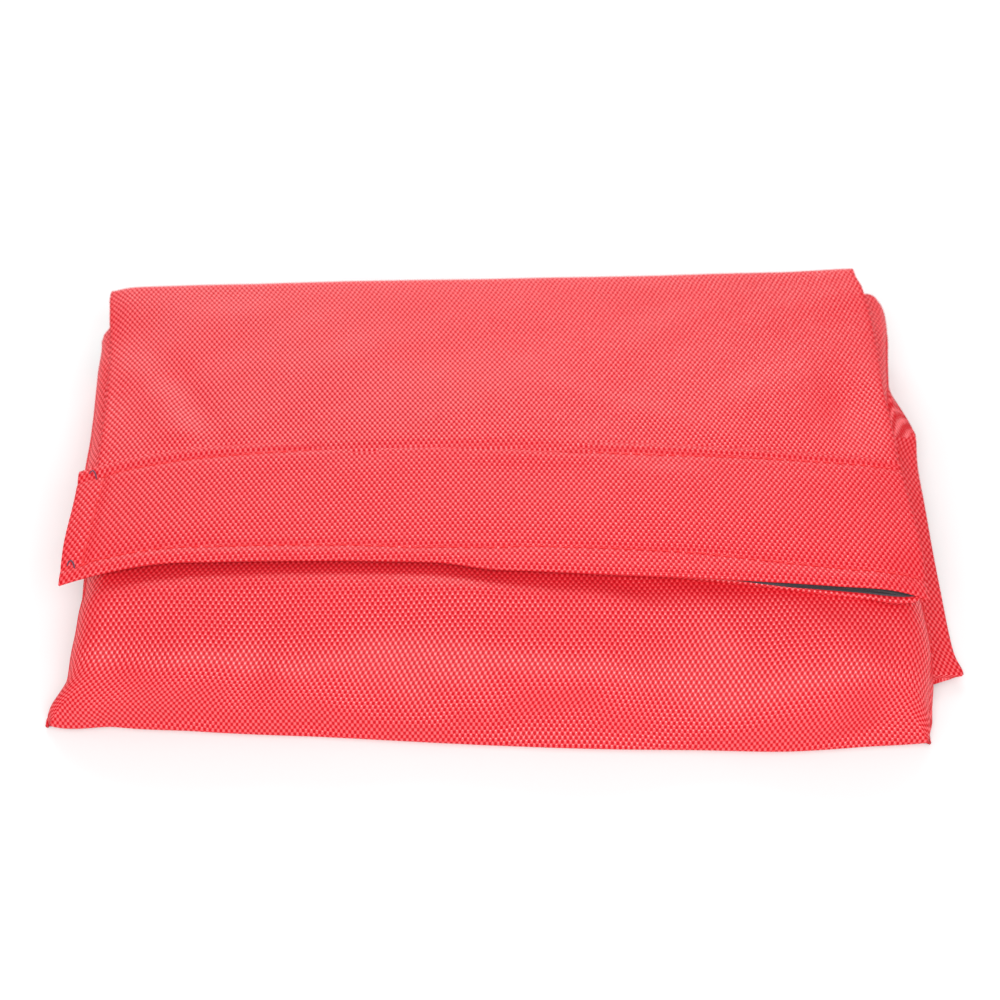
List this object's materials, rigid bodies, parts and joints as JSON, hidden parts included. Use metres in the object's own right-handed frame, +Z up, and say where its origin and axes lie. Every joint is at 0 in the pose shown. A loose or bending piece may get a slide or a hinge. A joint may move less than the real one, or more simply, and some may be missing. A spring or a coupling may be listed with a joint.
{
  "type": "fire blanket",
  "caption": "Folded glass-cloth fire blanket in a soft red woven pouch with a fold-over flap, hook-and-loop closure and pull tapes.",
  "frame": {"origin": "centre of the pouch's underside, on the floor, midway between the front edge and the rear fold", "axes": "+Z up, +Y from the front edge towards the rear fold, +X to the right across the pouch"},
  "size_m": [0.308, 0.19, 0.0366],
  "materials": {
    "pouch_fabric": "heavy plain-weave polyester, bright coral red, slight yarn sheen",
    "band_fabric": "the same red weave, doubled and pressed flat",
    "pouch_thread": "dark red bonded sewing thread",
    "dark_thread": "dark grey-purple thread",
    "loop_pile": "charcoal ribbed loop tape",
    "hook_pile": "charcoal hook tape with rows of fine hooks",
    "glass_cloth": "off-white woven glass-fibre cloth",
    "white_thread": "white heat-resistant thread",
    "webbing": "black ribbed webbing"
  },
  "bodies": {
    "pouch": {"back_panel": "pouch_fabric", "front_panel": "pouch_fabric", "left_side_seam": "pouch_thread", "right_side_seam": "pouch_thread", "mouth_hem": "pouch_fabric", "mouth_hem_stitching": "pouch_thread", "loop_carrier_strip": "pouch_fabric", "carrier_stitching": "pouch_thread", "loop_tape": "loop_pile", "loop_tape_stitching": "pouch_thread"},
    "rear_fold": {"rear_fold": "pouch_fabric"},
    "flap": {"flap_panel": "pouch_fabric", "flap_band": "band_fabric", "hook_tape": "hook_pile", "band_top_stitching": "pouch_thread", "band_bottom_stitching": "pouch_thread", "band_end_stitching": "pouch_thread", "band_corner_tacks": "dark_thread"},
    "blanket": {"blanket_cloth": "glass_cloth", "blanket_hem": "glass_cloth", "blanket_hem_stitching": "white_thread", "left_pull_tape_end": "webbing", "right_pull_tape_end": "webbing", "left_box_stitching": "white_thread", "right_box_stitching": "white_thread"},
    "left_pull_tape": {"left_pull_tape": "webbing"},
    "right_pull_tape": {"right_pull_tape": "webbing"}
  },
  "joints": [
    {"name": "rear_fold_drop", "type": "hinge", "parent": "pouch", "child": "rear_fold", "pos_m": [0, 0.09285, 0.00215], "axis": [-1, 0, 0], "range_deg": [0, 90], "deforming": ["rear_fold"]},
    {"name": "flap_lift", "type": "hinge", "parent": "rear_fold", "child": "flap", "pos_m": [0, 0.0923, 0.0339], "axis": [-1, 0, 0], "range_deg": [0, 90], "deforming": ["rear_fold"]},
    {"name": "blanket_draw", "type": "slide", "parent": "pouch", "child": "blanket", "axis": [0, 1, 0], "range_m": [0, 0.0451]},
    {"name": "left_pull_tape_lift", "type": "hinge", "parent": "blanket", "child": "left_pull_tape", "pos_m": [-0.085, 0.076, 0.0331], "axis": [-1, 0, 0], "range_deg": [0, 72.1]},
    {"name": "right_pull_tape_lift", "type": "hinge", "parent": "blanket", "child": "right_pull_tape", "pos_m": [0.085, 0.076, 0.0331], "axis": [-1, 0, 0], "range_deg": [0, 72.1]}
  ],
  "couplings": [
    {"joint": "blanket_draw", "follows": "rear_fold_drop", "m_per_rad": 0.0286},
    {"joint": "left_pull_tape_lift", "follows": "flap_lift", "ratio": 0.8},
    {"joint": "right_pull_tape_lift", "follows": "flap_lift", "ratio": 0.8}
  ]
}
